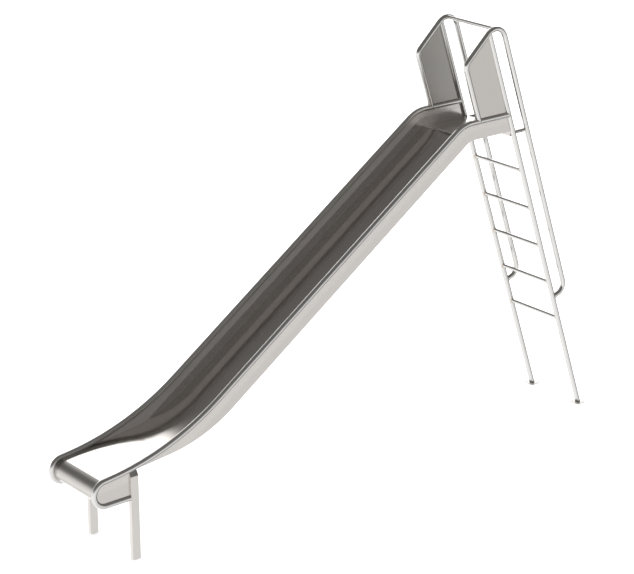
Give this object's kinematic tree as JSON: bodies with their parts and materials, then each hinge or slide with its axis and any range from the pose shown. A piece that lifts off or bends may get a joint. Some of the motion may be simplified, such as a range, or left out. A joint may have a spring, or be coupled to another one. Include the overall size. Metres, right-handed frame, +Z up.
{
  "type": "playground slide",
  "caption": "Free-standing straight playground slide in stainless steel, with a ladder, guarded platform, rimmed chute and flat run-out.",
  "frame": {"origin": "centre of the bounding box's base, level with the underside of the foot plates and of the front legs", "axes": "+Z up; the chute runs down towards -X and the ladder stands at +X; the slide is symmetric about the XZ plane"},
  "size_m": [4.3762, 0.563, 3.0127],
  "materials": {
    "tube": "ground and polished stainless tube",
    "sheet": "polished stainless sheet, mirror-like along the chute",
    "panel": "satin stainless sheet",
    "box_section": "satin stainless box section",
    "fixing": "turned stainless"
  },
  "bodies": {
    "root": {"barrier_panel_left": "panel", "barrier_panel_right": "panel", "barrier_rail_left": "tube", "barrier_rail_right": "tube", "end_loop_left": "tube", "end_loop_right": "tube", "end_plate_left": "sheet", "end_plate_right": "sheet", "end_roll": "sheet", "front_leg_left": "box_section", "front_leg_right": "box_section", "front_post_left": "tube", "front_post_right": "tube", "grab_rail_left": "tube", "grab_rail_right": "tube", "ladder_foot_plate_left": "box_section", "ladder_foot_plate_right": "box_section", "leg_cap_left": "box_section", "leg_cap_right": "box_section", "platform_floor": "sheet", "platform_rear_beam": "box_section", "rail_sleeve_left": "tube", "rail_sleeve_right": "tube", "rim_platform_left": "tube", "rim_platform_right": "tube", "rim_run_out_left": "tube", "rim_run_out_right": "tube", "rim_slope_left": "tube", "rim_slope_right": "tube", "rung_1": "tube", "rung_2": "tube", "rung_3": "tube", "rung_4": "tube", "rung_5": "tube", "side_wall_left": "sheet", "side_wall_right": "sheet", "slide_bed": "sheet", "standoff_spacers_left": "fixing", "standoff_spacers_right": "fixing", "standoff_stud_left": "fixing", "standoff_stud_right": "fixing", "stile_left": "tube", "stile_right": "tube", "top_crossbar": "tube"}
  },
  "joints": []
}
